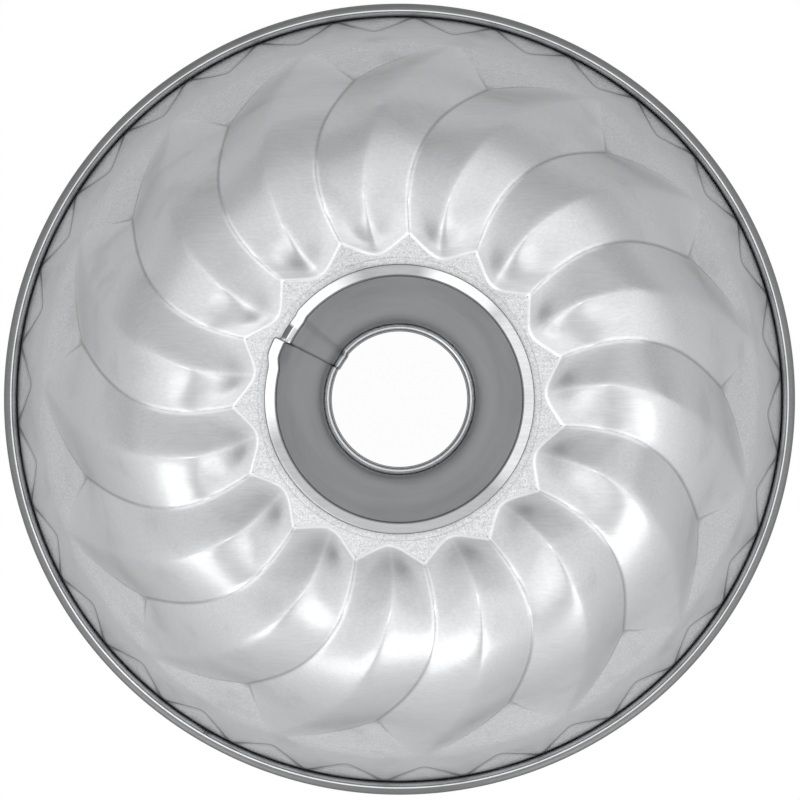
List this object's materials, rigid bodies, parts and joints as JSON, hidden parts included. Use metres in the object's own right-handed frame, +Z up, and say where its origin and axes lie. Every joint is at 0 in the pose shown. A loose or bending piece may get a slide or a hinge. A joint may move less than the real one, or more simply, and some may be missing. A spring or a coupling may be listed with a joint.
{
  "type": "fluted tube pan",
  "caption": "Round tinplate cake pan with swirled flutes, a conical centre tube folded into its base and a wired, rolled rim, standing mouth down on the rim.",
  "frame": {"origin": "centre of the plane that the rolled rim stands on", "axes": "+Z up along the tube's axis, from the open mouth to the fluted base; +X to the right in the picture"},
  "size_m": [0.2198, 0.2198, 0.105],
  "materials": {
    "shell_tinplate": "satin bright tinplate, pressed",
    "tube_tinplate": "satin bright tinplate, rolled",
    "wire_steel": "plain drawn wire"
  },
  "bodies": {
    "root": {"fluted_shell": "shell_tinplate", "centre_tube": "tube_tinplate", "rim_wire": "wire_steel"}
  },
  "joints": []
}
